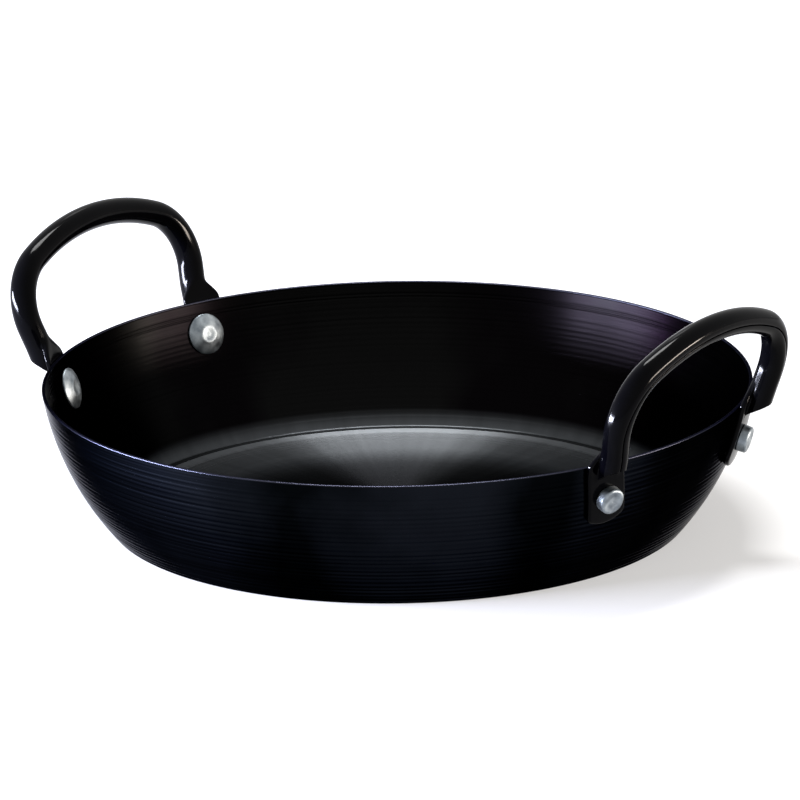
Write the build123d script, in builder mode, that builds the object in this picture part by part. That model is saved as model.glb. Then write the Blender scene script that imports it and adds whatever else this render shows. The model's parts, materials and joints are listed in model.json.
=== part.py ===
from build123d import *
import os
from math import asin, cos, degrees, hypot, radians, sin, sqrt, tan

os.makedirs("parts", exist_ok=True)

# A two-handled iron pan: a spun sheet bowl, two rolled strip handles and four rivets.
# Millimetres and degrees. The origin is the middle of the base, +Z is up, the handles lie along X.

# Pan: one disc of sheet, spun to a flat base and a curved flaring wall
rim_radius = 120.0
base_radius = 97.6
pan_height = 47.6
wall_arc_radius = 95.7
sheet = 1.2
inner_corner = 1.4
outer_corner = inner_corner + sheet
rim_round = 0.35

# Turned lines inside the pan: a pair under the rim and a pair on the floor
line_tool = 0.5
line_depth = 0.15
wall_line_drops = (4.2, 5.3)
floor_line_insets = (17.2, 18.6)

# Rivets: a domed head inside the pan, a clenched tail outside
rivet_drop = 11.5
rivet_inset = 7.0
shank_radius = 2.5
hole_clearance = 0.15
head_radius = 7.1
head_edge = 0.4
head_dome = 1.9
head_dish = 2.9
head_dish_depth = 0.35
tail_radius = 4.65
tail_height = 3.2
tail_round = 0.9
seat_gap = 0.05

# Handles: a steel strip, rolled round the grip and left flat at its ends
strip = 2.0
tube_radius = 4.5
seam = 0.4
leg_clearance = 0.5
loop_height = 39.3
loop_half_width = 46.0
grip_arc_radius = 90.0
bend_radius = 19.0
leg_slant = 13.5
right_lean = 14.7
left_lean = 18.0

# Where the rolled part of a leg ends: it is cut on the slope, lower towards the pan
roll_end = 2.6
roll_end_slope = 41.0
leg_overrun = 5.0

# Flat ends of the handles, which lie on the pan's wall
tab_half_width = 7.2
tab_below_rivet = 10.4
tab_end_bulge = 2.6
tab_corner = 1.4
tab_shoulder = 11.2
tab_neck = 17.0
tab_edge_round = 0.5
tab_slant = 11.0
tab_cut_depth = 9.0
band_overrun = 8.0
trim_depth = 6.0

# The wall's outer outline is one arc, whose centre lies inside the bowl and above the rim
chord = hypot(rim_radius - base_radius, pan_height)
rise_share = (rim_radius - base_radius) / chord
run_share = pan_height / chord
centre_offset = sqrt(wall_arc_radius**2 - (chord / 2) ** 2)
wall_centre_x = (rim_radius + base_radius) / 2 - run_share * centre_offset
wall_centre_z = pan_height / 2 + rise_share * centre_offset


def wall_radius(height, inset=0):
    """Distance from the pan's axis to the wall's outer face, or to a surface inset from it."""
    return wall_centre_x + sqrt((wall_arc_radius - inset) ** 2 - (wall_centre_z - height) ** 2)


def outward(azimuth, lean=0):
    """Unit vector away from the pan's axis, tipped down by the lean."""
    turn, tip = radians(azimuth), radians(lean)
    return Vector(cos(turn) * cos(tip), sin(turn) * cos(tip), -sin(tip))


def upward(azimuth, lean=0):
    """Unit vector up a surface that leans outwards at this azimuth."""
    turn, tip = radians(azimuth), radians(lean)
    return Vector(cos(turn) * sin(tip), sin(turn) * sin(tip), cos(tip))


def sideways(azimuth):
    """Unit vector round the pan, square to the azimuth."""
    turn = radians(azimuth)
    return Vector(-sin(turn), cos(turn), 0)


# The rivets stand near the sides of the loops, a drop below the rim
rivet_height = pan_height - rivet_drop
rivet_lean = degrees(asin((wall_centre_z - rivet_height) / wall_arc_radius))
rivet_spread = degrees(asin((loop_half_width - rivet_inset) / wall_radius(rivet_height)))
rivet_azimuths = {
    "rivet_right_rear": rivet_spread,
    "rivet_right_front": -rivet_spread,
    "rivet_left_rear": 180 - rivet_spread,
    "rivet_left_front": 180 + rivet_spread,
}


def rivet_plane(azimuth, slant=0):
    """Plane on the wall's outer face at a rivet, Z out of the wall, Y up it, turned by the slant."""
    seat = outward(azimuth) * wall_radius(rivet_height) + Vector(0, 0, rivet_height)
    across = sideways(azimuth) * cos(radians(slant)) - upward(azimuth, rivet_lean) * sin(radians(slant))
    return Plane(origin=seat, x_dir=across, z_dir=outward(azimuth, rivet_lean))


def wall_band(inner_inset, outer_inset, low, high):
    """Solid ring between two surfaces parallel to the wall's outer face."""
    middle = (low + high) / 2
    with BuildPart() as band:
        with BuildSketch(Plane.XZ):
            with BuildLine():
                ThreePointArc(
                    (wall_radius(low, outer_inset), low),
                    (wall_radius(middle, outer_inset), middle),
                    (wall_radius(high, outer_inset), high),
                )
                Line((wall_radius(high, outer_inset), high), (wall_radius(high, inner_inset), high))
                ThreePointArc(
                    (wall_radius(high, inner_inset), high),
                    (wall_radius(middle, inner_inset), middle),
                    (wall_radius(low, inner_inset), low),
                )
                Line((wall_radius(low, inner_inset), low), (wall_radius(low, outer_inset), low))
            make_face()
        revolve(axis=Axis.Z)
    return band.part


# The pan: half its section, spun round the axis
with BuildPart() as pan:
    with BuildSketch(Plane.XZ) as pan_section:
        with BuildLine():
            Line((0, 0), (base_radius, 0))
            ThreePointArc(
                (base_radius, 0), (wall_radius(pan_height / 2), pan_height / 2), (rim_radius, pan_height)
            )
            Line((rim_radius, pan_height), (wall_radius(pan_height, sheet), pan_height))
            ThreePointArc(
                (wall_radius(pan_height, sheet), pan_height),
                (wall_radius(pan_height / 2, sheet), pan_height / 2),
                (wall_radius(sheet, sheet), sheet),
            )
            Line((wall_radius(sheet, sheet), sheet), (0, sheet))
            Line((0, sheet), (0, 0))
        make_face()
        corners = pan_section.vertices().filter_by_position(Axis.X, base_radius / 2, rim_radius)
        rim_corners = corners.group_by(Axis.Y)[-1]
        fillet(rim_corners, radius=rim_round)
        fillet(pan_section.vertices().sort_by_distance((base_radius, 0))[0], radius=outer_corner)
        inside_corner = (wall_radius(sheet, sheet), sheet)
        fillet(pan_section.vertices().sort_by_distance(inside_corner)[0], radius=inner_corner)
    revolve(axis=Axis.Z)
    # Turned lines: grooves that the tip of a round tool leaves
    with BuildSketch(Plane.XZ) as lines:
        for drop in wall_line_drops:
            height = pan_height - drop
            with Locations((wall_radius(height, sheet - line_depth + line_tool), height)):
                Circle(line_tool)
        for inset in floor_line_insets:
            with Locations((base_radius - inset, sheet - line_depth + line_tool)):
                Circle(line_tool)
    revolve(axis=Axis.Z, mode=Mode.SUBTRACT)
    # Rivet holes, square to the wall
    for azimuth in rivet_azimuths.values():
        with BuildSketch(rivet_plane(azimuth)):
            Circle(shank_radius + hole_clearance)
        extrude(amount=head_radius, both=True, mode=Mode.SUBTRACT)
pan.part.label = "pan"
export_step(pan.part, "parts/pan.step")

# What the handles must stay clear of, and the band that their flat ends are cut from
band_low = rivet_height / 2
pan_space = wall_band(trim_depth, -seat_gap, band_low, pan_height + seat_gap)
tab_band = wall_band(-seat_gap, -seat_gap - strip, band_low, pan_height + band_overrun)

# The loop's line, in its own leaning plane: X sideways, Y up, zero at the rim's height.
# The grip's long arc and the tight bend touch where both centres are in line.
bend_x = loop_half_width - bend_radius
grip_sweep = degrees(asin(bend_x / (grip_arc_radius - bend_radius)))
grip_y = loop_height - grip_arc_radius
bend_y = grip_y + sqrt((grip_arc_radius - bend_radius) ** 2 - bend_x**2)
bend_end = Vector(cos(radians(leg_slant)), -sin(radians(leg_slant))) * bend_radius
leg_top = (bend_x + bend_end.X, bend_y + bend_end.Y)
leg_run_share = tan(radians(leg_slant))
leg_side = leg_top[0] - leg_top[1] * leg_run_share
leg_low = (leg_side - roll_end * leg_run_share, -roll_end)
leg_end = (leg_low[0] - leg_overrun * leg_run_share, leg_low[1] - leg_overrun)

# The loop stands where its legs just clear the rim
loop_reach = sqrt((rim_radius + leg_clearance + tube_radius) ** 2 - leg_side**2)


def make_tab(azimuth):
    """Flat end of a handle: its outline cut from a band that follows the wall."""
    with BuildPart() as tab:
        add(tab_band)
        with BuildSketch(rivet_plane(azimuth, tab_slant)) as outline:
            with BuildLine():
                end_corner = tab_end_bulge - tab_below_rivet
                ThreePointArc(
                    (-tab_half_width, end_corner), (0, -tab_below_rivet), (tab_half_width, end_corner)
                )
                Polyline(
                    (tab_half_width, end_corner),
                    (tab_half_width, tab_shoulder),
                    (tube_radius, tab_neck),
                    (-tube_radius, tab_neck),
                    (-tab_half_width, tab_shoulder),
                    (-tab_half_width, end_corner),
                )
            make_face()
            fillet(outline.vertices().group_by(Axis.Y)[0], radius=tab_corner)
        extrude(amount=tab_cut_depth, both=True, mode=Mode.INTERSECT)
        outer_face = tab.faces().sort_by(Axis(origin=(0, 0, 0), direction=outward(azimuth, rivet_lean)))[-1]
        fillet(outer_face.edges(), radius=tab_edge_round)
    return tab.part


def make_handle(azimuth, lean):
    """One handle: half of the rolled loop with its flat end, mirrored to the other half."""
    loop_plane = Plane(
        origin=outward(azimuth) * loop_reach + Vector(0, 0, pan_height),
        x_dir=sideways(azimuth),
        z_dir=outward(azimuth, lean),
    )
    foot_up = loop_plane.x_dir * sin(radians(leg_slant)) + loop_plane.y_dir * cos(radians(leg_slant))
    slope = radians(roll_end_slope)
    roll_cut = Plane(
        origin=loop_plane.from_local_coords(Vector(*leg_low)),
        z_dir=foot_up * cos(slope) - loop_plane.z_dir * sin(slope),
    )
    tab = make_tab(azimuth + rivet_spread)
    with BuildPart() as handle:
        with BuildLine(loop_plane) as half_loop:
            CenterArc((0, grip_y), grip_arc_radius, 90, -grip_sweep)
            CenterArc((bend_x, bend_y), bend_radius, 90 - grip_sweep, grip_sweep - 90 - leg_slant)
            Line(leg_top, leg_end)
        section_plane = Plane(
            origin=half_loop.line @ 0, x_dir=loop_plane.z_dir, z_dir=half_loop.line % 0
        )
        # The strip closes to a tube with a narrow seam on its outer side
        with BuildSketch(section_plane):
            Circle(tube_radius)
            Circle(tube_radius - strip, mode=Mode.SUBTRACT)
            with Locations((tube_radius - strip / 2, 0)):
                Rectangle(strip + seam, seam, mode=Mode.SUBTRACT)
        sweep()
        split(bisect_by=roll_cut, keep=Keep.TOP)
        add(tab)
        add(pan_space, mode=Mode.SUBTRACT)
        with BuildSketch(rivet_plane(azimuth + rivet_spread)):
            Circle(shank_radius + hole_clearance)
        extrude(amount=head_radius, both=True, mode=Mode.SUBTRACT)
        mirror(about=Plane(origin=(0, 0, 0), z_dir=sideways(azimuth)))
    return handle


handle_right = make_handle(0, right_lean)
handle_right.part.label = "handle_right"
export_step(handle_right.part, "parts/handle_right.step")

handle_left = make_handle(180, left_lean)
handle_left.part.label = "handle_left"
export_step(handle_left.part, "parts/handle_left.step")


def make_rivet(azimuth):
    """One rivet, turned on its own axis: head inside the pan, shank through, tail on the handle's end."""
    seat = rivet_plane(azimuth)
    axis = Axis(origin=seat.origin, direction=seat.z_dir)
    section = Plane(origin=seat.origin, x_dir=seat.y_dir, z_dir=seat.y_dir.cross(seat.z_dir))
    # The head's flat base bridges the hollow of the wall, and touches it at its edge
    inner_curve = wall_arc_radius - sheet
    hollow = inner_curve - sqrt(inner_curve**2 - head_radius**2)
    head_base = -sheet - hollow - seat_gap
    dome_edge = head_base - head_edge
    dome_curve = (head_radius**2 + head_dome**2) / (2 * head_dome)
    dome_centre = dome_edge - head_dome + dome_curve
    dome_middle = (head_radius + head_dish) / 2
    dish_edge = dome_centre - sqrt(dome_curve**2 - head_dish**2)
    tail_base = strip + seat_gap * 2
    tail_top = tail_base + tail_height
    with BuildPart() as rivet:
        with BuildSketch(section) as outline:
            with BuildLine():
                ThreePointArc(
                    (head_dish, dish_edge),
                    (dome_middle, dome_centre - sqrt(dome_curve**2 - dome_middle**2)),
                    (head_radius, dome_edge),
                )
                Polyline(
                    (head_radius, dome_edge),
                    (head_radius, head_base),
                    (shank_radius, head_base),
                    (shank_radius, tail_base),
                    (tail_radius, tail_base),
                    (tail_radius, tail_top),
                    (0, tail_top),
                    (0, dish_edge + head_dish_depth),
                    (head_dish, dish_edge),
                )
            make_face()
            fillet(outline.vertices().group_by(Axis.Y)[-1].sort_by(Axis.X)[-1], radius=tail_round)
        revolve(axis=axis)
    return rivet


for name, azimuth in rivet_azimuths.items():
    rivet = make_rivet(azimuth)
    rivet.part.label = name
    export_step(rivet.part, f"parts/{name}.step")
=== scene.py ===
# %% [markdown]
# # A two-handled iron pan
# The real object is a disc of iron sheet, spun on a lathe into a shallow bowl with a flat base. Two
# loops of steel strip, rolled into tubes and painted gloss black, are riveted to its wall.
# The frame of solids comes first, because every piece here is built on it, in metres.

# %% Load the frame
import json
from math import asin, atan2, cos, degrees, hypot, pi, radians, sin, sqrt, tan

import bpy
import numpy as np
from mathutils import Matrix, Vector
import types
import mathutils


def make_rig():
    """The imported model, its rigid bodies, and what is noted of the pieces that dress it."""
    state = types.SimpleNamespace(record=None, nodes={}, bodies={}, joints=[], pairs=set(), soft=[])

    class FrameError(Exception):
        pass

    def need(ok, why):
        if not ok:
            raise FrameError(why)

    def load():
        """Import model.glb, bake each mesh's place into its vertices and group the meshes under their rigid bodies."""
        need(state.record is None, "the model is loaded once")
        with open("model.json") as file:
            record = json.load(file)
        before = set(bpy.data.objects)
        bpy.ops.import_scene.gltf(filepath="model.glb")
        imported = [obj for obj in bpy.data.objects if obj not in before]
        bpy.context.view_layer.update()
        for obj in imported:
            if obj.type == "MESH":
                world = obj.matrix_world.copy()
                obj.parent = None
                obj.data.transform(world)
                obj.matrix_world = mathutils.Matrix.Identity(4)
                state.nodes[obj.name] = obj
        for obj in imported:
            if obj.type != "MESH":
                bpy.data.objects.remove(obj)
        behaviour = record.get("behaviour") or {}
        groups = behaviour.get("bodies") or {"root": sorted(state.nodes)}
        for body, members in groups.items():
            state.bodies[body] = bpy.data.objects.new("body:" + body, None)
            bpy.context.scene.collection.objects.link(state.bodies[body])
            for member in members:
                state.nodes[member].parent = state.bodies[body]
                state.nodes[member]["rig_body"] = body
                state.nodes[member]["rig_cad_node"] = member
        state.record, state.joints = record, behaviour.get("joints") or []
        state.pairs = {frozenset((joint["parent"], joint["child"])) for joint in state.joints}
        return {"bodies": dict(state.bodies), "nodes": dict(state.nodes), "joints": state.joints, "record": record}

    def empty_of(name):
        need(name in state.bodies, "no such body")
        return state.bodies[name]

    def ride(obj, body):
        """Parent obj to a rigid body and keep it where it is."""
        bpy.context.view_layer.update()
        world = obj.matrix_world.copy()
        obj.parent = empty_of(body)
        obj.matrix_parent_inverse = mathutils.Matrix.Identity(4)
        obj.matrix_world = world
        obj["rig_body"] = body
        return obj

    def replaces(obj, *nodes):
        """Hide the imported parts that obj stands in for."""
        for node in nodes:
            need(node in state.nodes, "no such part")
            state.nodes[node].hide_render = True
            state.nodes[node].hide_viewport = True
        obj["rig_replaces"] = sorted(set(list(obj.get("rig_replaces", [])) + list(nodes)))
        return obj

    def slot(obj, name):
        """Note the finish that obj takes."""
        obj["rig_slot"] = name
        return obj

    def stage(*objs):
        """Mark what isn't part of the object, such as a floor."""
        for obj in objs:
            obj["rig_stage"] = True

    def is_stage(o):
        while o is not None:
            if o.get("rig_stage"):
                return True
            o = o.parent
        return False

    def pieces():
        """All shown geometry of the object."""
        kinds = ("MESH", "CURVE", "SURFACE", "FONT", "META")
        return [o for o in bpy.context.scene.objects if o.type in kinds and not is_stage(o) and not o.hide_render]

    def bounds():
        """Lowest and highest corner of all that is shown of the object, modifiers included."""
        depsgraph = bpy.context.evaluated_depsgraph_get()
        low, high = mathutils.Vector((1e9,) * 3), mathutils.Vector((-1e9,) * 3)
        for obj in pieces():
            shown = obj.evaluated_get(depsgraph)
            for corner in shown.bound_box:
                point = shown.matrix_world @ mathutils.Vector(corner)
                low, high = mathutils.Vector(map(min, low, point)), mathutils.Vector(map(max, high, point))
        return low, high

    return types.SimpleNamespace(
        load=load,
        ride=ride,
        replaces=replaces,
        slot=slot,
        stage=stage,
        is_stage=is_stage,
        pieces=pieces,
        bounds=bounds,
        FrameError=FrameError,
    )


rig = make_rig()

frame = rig.load()
cad_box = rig.bounds()
scene = bpy.context.scene
scene.view_settings.view_transform = "Standard"
mm = 0.001
print("nodes:", sorted(frame["nodes"]))

# %% [markdown]
# ## The sizes that all pieces share
# The wall's outer outline is one arc. Its centre lies inside the bowl and above the rim, so a radius
# at any height comes from one square root. Sizes are in millimetres until a mesh is made.

# %% Shared sizes
rim_radius, base_radius, pan_height = 120.0, 97.6, 47.6
wall_arc, sheet = 95.7, 1.2
chord = hypot(rim_radius - base_radius, pan_height)
reach = sqrt(wall_arc**2 - (chord / 2) ** 2) / chord
arc_x = (rim_radius + base_radius) / 2 - pan_height * reach
arc_z = pan_height / 2 + (rim_radius - base_radius) * reach


def wall_radius(height, inset=0.0):
    """Distance from the axis to the wall's outer face, or to a surface inset from it."""
    return arc_x + sqrt((wall_arc - inset) ** 2 - (arc_z - height) ** 2)


print("wall radius at half height", round(wall_radius(pan_height / 2), 2))

# %% [markdown]
# ## The camera
# The photograph was taken from far away with a long lens, a little above the rim. A camera could be
# aimed by eye, but here its place, aim and lens are worked out from the outline of the rim, the base
# and the handles, so that the pieces fall where they fall in the photograph.

# %% Camera
camera_turn, camera_rise = radians(-54.29), radians(16.827)
camera_distance = 2911.1
camera_pitch, camera_yaw, camera_roll = radians(16.964), radians(0.018), radians(-0.956)
lens_in_frame_widths = 8625 / 800

flat = Vector((cos(camera_turn), sin(camera_turn), 0))
spot = flat * cos(camera_rise) * camera_distance
spot.z = sin(camera_rise) * camera_distance + pan_height
level_right = Vector((-flat.y, flat.x, 0))
ahead = (level_right * sin(camera_yaw) - flat * cos(camera_yaw)) * cos(camera_pitch)
ahead.z = -sin(camera_pitch)
right = (level_right * cos(camera_yaw) + flat * sin(camera_yaw)).normalized()
up = right.cross(ahead)
rolled_right = right * cos(camera_roll) + up * sin(camera_roll)
rolled_up = up * cos(camera_roll) - right * sin(camera_roll)

camera = bpy.data.objects.new("camera", bpy.data.cameras.new("camera"))
scene.collection.objects.link(camera)
camera.data.sensor_width = 36
camera.data.lens = lens_in_frame_widths * camera.data.sensor_width
camera.matrix_world = Matrix((
    (rolled_right.x, rolled_up.x, -ahead.x, spot.x * mm),
    (rolled_right.y, rolled_up.y, -ahead.y, spot.y * mm),
    (rolled_right.z, rolled_up.z, -ahead.z, spot.z * mm),
    (0, 0, 0, 1),
))
scene.camera = camera
print("lens", round(camera.data.lens), "mm, distance", camera_distance * mm, "m")

# %% [markdown]
# ## Two helpers for materials
# Colours are written as the hex values that a screen shows, and one function turns them into the
# linear values that light is counted in. Another adds a node with its settings and links.


# %% Helpers for materials
def linear(hex_colour):
    """Linear RGBA of an sRGB hex colour."""
    parts = [int(hex_colour[i : i + 2], 16) / 255 for i in (1, 3, 5)]
    return [p / 12.92 if p <= 0.04045 else ((p + 0.055) / 1.055) ** 2.4 for p in parts] + [1.0]


def node(tree, kind, inputs=None, stops=None, **settings):
    """Adds a node, sets its settings, fills or links its inputs, and sets a colour ramp's stops."""
    made = tree.nodes.new(kind)
    for name, value in settings.items():
        setattr(made, name, value)
    for name, value in (inputs or {}).items():
        if isinstance(value, bpy.types.NodeSocket):
            tree.links.new(value, made.inputs[name])
        else:
            made.inputs[name].default_value = value
    if stops:
        points = made.color_ramp.elements
        while len(points) < len(stops):
            points.new(0.5)
        for point, (position, value) in zip(points, stops):
            point.position = position
            point.color = value if isinstance(value, list) else [value] * 3 + [1.0]
    return made


def new_material(name):
    """An empty material, its tree and its output node."""
    made = bpy.data.materials.new(name)
    made.use_nodes = True
    made.node_tree.nodes.clear()
    return made, made.node_tree, made.node_tree.nodes.new("ShaderNodeOutputMaterial")


print("linear value of a middle grey:", round(linear("#808080")[0], 3))

# %% [markdown]
# ## Marks in the iron
# The bowl is mild iron sheet. The spinning tool leaves fine rings round its axis, and the heating that
# blues it leaves clouds of tint. Broad light and dark patches round the pan are painted reflections of
# the surroundings that the wall mirrors. A painted image could hold such marks, but it blurs close up.
# Noise that is read along the pan's own radius, height and direction stays sharp and needs no
# unwrapping. The real rings are about 0.1 mm apart. They are drawn 0.5 mm apart, so that a picture of
# the whole pan still shows them.

# %% Marks in the iron
ring_spacing, cloud_size, speck_size = 0.5 * mm, 45 * mm, 1.1 * mm
# The last two set the size of the painted reflection patches, and turn them round the pan to where the wall mirrors
# light and dark
spoke_scale, reflection_patch_scale, reflection_patch_start = 20, 2.2, 5.2


def iron_marks(tree):
    """The value of each mark, with the radius and the height of the place."""
    place = node(tree, "ShaderNodeTexCoord").outputs["Object"]
    axes = node(tree, "ShaderNodeSeparateXYZ", {"Vector": place}).outputs
    flat_place = node(tree, "ShaderNodeCombineXYZ", {"X": axes["X"], "Y": axes["Y"]}).outputs[0]
    radius = node(
        tree, "ShaderNodeVectorMath", {0: flat_place}, operation="LENGTH",
    ).outputs["Value"]
    direction = node(
        tree, "ShaderNodeVectorMath", {0: flat_place}, operation="NORMALIZE",
    ).outputs[0]
    ring_place = node(tree, "ShaderNodeCombineXYZ", {"X": radius, "Y": axes["Z"]}).outputs[0]
    reflection_patch_place = node(
        tree, "ShaderNodeVectorMath", {0: direction, 1: (reflection_patch_start, 0, 0)}, operation="ADD",
    ).outputs[0]
    marks = {"radius": radius, "height": axes["Z"]}
    for name, where, scale, detail in (
        ("rings", ring_place, 1 / ring_spacing, 3.0),
        ("clouds", place, 1 / cloud_size, 4.0),
        ("specks", place, 1 / speck_size, 2.0),
        ("spokes", direction, spoke_scale, 2.0),
        # Painted reflection: broad light and dark patches round the pan
        ("patches", reflection_patch_place, reflection_patch_scale, 1.0),
    ):
        marks[name] = node(
            tree, "ShaderNodeTexNoise", {"Vector": where, "Scale": scale, "Detail": detail},
        ).outputs["Fac"]
    return marks


print("rings", round(ring_spacing / mm, 2), "mm apart, clouds", round(cloud_size / mm), "mm across")

# %% [markdown]
# ## Where the iron is rubbed, and painted sheen
# Spatulas and scouring rub the oxide off the floor and the foot of the wall, and paler iron shows.
# The worn places could be painted on by hand, but they are the same all round the pan. So the share
# that is rubbed is a list of values along the radius, from the dark middle to the bright edge of the
# floor. Its rise towards that edge is partly wear and partly painted sheen, where the lamp above
# catches the floor. It fades out up the foot of the wall, where it also paints sheen on the low
# ridges, and faint spokes break it up.

# %% Rubbed share and painted sheen
noise_span = {"From Min": 0.3, "From Max": 0.7}  # where nearly all of a noise's values lie
rub_sheen_top, rub_sheen_bottom, rub_sheen_reach = 7.0 * mm, 1.4 * mm, 100 * mm
least_spoke, most_spoke = 0.85, 1.1
# Rises from the dark middle to the floor's edge: wear, and painted sheen where the lamp above catches the edge
rubbed_and_sheen_along_radius = [
    (0.0, 0.012), (0.25, 0.018), (0.37, 0.03), (0.49, 0.055), (0.55, 0.083), (0.6, 0.143),
    (0.66, 0.25), (0.72, 0.385), (0.84, 0.47), (0.89, 0.55), (0.905, 1.0),
]


def rubbed_and_sheen_share(tree, marks):
    """How far the oxide has gone from a place, from 0 for whole oxide to 1 for bare iron, with painted sheen rising
    towards the floor's edge.
    """
    # Fades out up the wall's foot, where it paints sheen on the low ridges as well as wear
    low = node(
        tree, "ShaderNodeMapRange",
        {"Value": marks["height"], "From Min": rub_sheen_top, "From Max": rub_sheen_bottom},
        interpolation_type="SMOOTHSTEP",
    ).outputs[0]
    outwards = node(
        tree, "ShaderNodeMath", {0: marks["radius"], 1: rub_sheen_reach}, operation="DIVIDE",
    ).outputs[0]
    outer = node(
        tree, "ShaderNodeValToRGB", {"Fac": outwards}, stops=rubbed_and_sheen_along_radius,
    ).outputs["Color"]
    streak = node(
        tree, "ShaderNodeMapRange",
        {"Value": marks["spokes"], **noise_span, "To Min": least_spoke, "To Max": most_spoke},
    ).outputs[0]
    worn_and_sheen = node(tree, "ShaderNodeMath", {0: low, 1: outer}, operation="MULTIPLY").outputs[0]
    return node(tree, "ShaderNodeMath", {0: worn_and_sheen, 1: streak}, operation="MULTIPLY").outputs[0]


print("values along the radius:", len(rubbed_and_sheen_along_radius))

# %% [markdown]
# ## Blued iron
# Heat turns the surface of iron to a thin blue-black oxide, satin rather than glossy. It is a metal, so
# it has no base coat: a dark metallic colour gives the eye deep blacks with coloured highlights. The
# fine rings stretch each highlight across them, along the radius. Real grooves that fine would need
# millions of faces, so the shader's anisotropy does it. Three finishes share one function, because the
# floor is scoured, the inner wall is rubbed at its foot, and the outer wall keeps its blue. The colour
# also holds painted light: reflection patches round the pan, sheen on the floor's edge and the wall's
# foot, and a highlight on the rim's edge.

# %% Blued iron
# Spread of the tint, and strength of the painted reflection patches
tint_low, tint_high, reflection_patch_low, reflection_patch_high, reflection_patch_strength = 0.35, 0.7, 0.35, 0.65, 0.35
# The rim's top edge: lighter from wear, and also as a painted highlight
rim_edge_from, rim_edge_to, rim_wear_and_highlight = 47.25 * mm, 47.5 * mm, "#393a45"
ring_bump, ring_relief, speck_bump, speck_relief = 0.08, 0.06 * mm, 0.02, 0.05 * mm
across_rings = 0.25  # of a turn, because the tangent runs along the rings


def blued_iron(name, dark, light, rubbed_and_sheen_colour, glancing, smooth, rough, stretch):
    """Iron with oxide between two colours, and painted reflection patches. rubbed is its colour where the oxide has
    gone, which also holds painted sheen, or None.
    """
    made, tree, output = new_material(name)
    marks = iron_marks(tree)
    # Painted reflection: light and dark patches round the pan, added to the clouds of heat tint
    patches = node(
        tree, "ShaderNodeMapRange",
        {
            "Value": marks["patches"], "From Min": reflection_patch_low, "From Max": reflection_patch_high,
            "To Min": -reflection_patch_strength, "To Max": reflection_patch_strength,
        },
    ).outputs[0]
    tint_and_reflection = node(
        tree, "ShaderNodeMath", {0: marks["clouds"], 1: patches}, operation="ADD",
    ).outputs[0]
    colour = node(
        tree, "ShaderNodeValToRGB", {"Fac": tint_and_reflection},
        stops=[(tint_low, linear(dark)), (tint_high, linear(light))],
    ).outputs["Color"]
    # Wear, with painted sheen on the floor's edge and on the wall's foot
    if rubbed_and_sheen_colour:
        colour = node(
            tree, "ShaderNodeMix",
            {0: rubbed_and_sheen_share(tree, marks), 6: colour, 7: linear(rubbed_and_sheen_colour)}, data_type="RGBA",
        ).outputs[2]
    # The rim's top edge, where the oxide is thin from wear, made lighter also as a painted highlight
    edge = node(
        tree, "ShaderNodeMapRange",
        {"Value": marks["height"], "From Min": rim_edge_from, "From Max": rim_edge_to},
    ).outputs[0]
    colour = node(
        tree, "ShaderNodeMix", {0: edge, 6: colour, 7: linear(rim_wear_and_highlight)}, data_type="RGBA",
    ).outputs[2]
    gloss = node(
        tree, "ShaderNodeMapRange",
        {"Value": marks["rings"], **noise_span, "To Min": smooth, "To Max": rough},
    ).outputs[0]
    fine = node(
        tree, "ShaderNodeBump",
        {"Height": marks["rings"], "Strength": ring_bump, "Distance": ring_relief},
    ).outputs[0]
    grain = node(
        tree, "ShaderNodeBump",
        {
            "Height": marks["specks"], "Strength": speck_bump, "Distance": speck_relief,
            "Normal": fine,
        },
    ).outputs[0]
    around = node(tree, "ShaderNodeTangent", direction_type="RADIAL", axis="Z").outputs[0]
    iron = node(
        tree, "ShaderNodeBsdfPrincipled",
        {
            "Base Color": colour, "Metallic": 1.0, "Roughness": gloss, "Normal": grain,
            "Tangent": around, "Anisotropic": stretch, "Anisotropic Rotation": across_rings,
            "Specular Tint": linear(glancing),
        },
    )
    tree.links.new(iron.outputs[0], output.inputs["Surface"])
    return made


# Scoured: grey and dull, so that lamps spread over it in broad soft wedges. Its grey is partly
# painted sheen, brighter towards the floor's edge
floor_iron = blued_iron(
    "scoured_iron_floor_and_sheen", "#080808", "#0f0f10", "#64676a", "#78787c",
    smooth=0.36, rough=0.43, stretch=1.0,
)
# Rubbed only at its foot, whose paler grey is partly painted sheen: black and satin, with soft
# streaks up the wall
inside_iron = blued_iron(
    "rubbed_blued_iron_and_sheen", "#060506", "#0c0c0c", "#37393b", "#747476",
    smooth=0.28, rough=0.35, stretch=0.65,
)
# Whole oxide: blue-black, and the smoothest of the three
outside_iron = blued_iron(
    "blued_spun_iron", "#030405", "#0f1115", None, "#909093",
    smooth=0.2, rough=0.3, stretch=0.65,
)
print("materials:", floor_iron.name, inside_iron.name, outside_iron.name)

# %% [markdown]
# ## Gloss black paint
# The handles are dipped in black paint, a smooth dielectric over the strip. It gives the eye a deep
# black with small sharp highlights, which wide sags in the film bend a little. One flat black would do
# for a toy, but noise that varies its tone and gloss makes it look handled.

# %% Paint
sag_size, dust_size = 5 * mm, 20 * mm
paint, tree, output = new_material("gloss_black_paint")
place = node(tree, "ShaderNodeTexCoord").outputs["Object"]
sag = node(
    tree, "ShaderNodeTexNoise", {"Vector": place, "Scale": 1 / sag_size, "Detail": 2.0},
).outputs["Fac"]
dust = node(
    tree, "ShaderNodeTexNoise", {"Vector": place, "Scale": 1 / dust_size, "Detail": 5.0},
).outputs["Fac"]
tone = node(
    tree, "ShaderNodeValToRGB", {"Fac": dust},
    stops=[(0.3, linear("#010102")), (0.75, linear("#040405"))],
).outputs["Color"]
gloss = node(
    tree, "ShaderNodeMapRange", {"Value": dust, **noise_span, "To Min": 0.08, "To Max": 0.13},
).outputs[0]
ripple = node(
    tree, "ShaderNodeBump", {"Height": sag, "Strength": 0.2, "Distance": 0.1 * mm},
).outputs[0]
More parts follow.
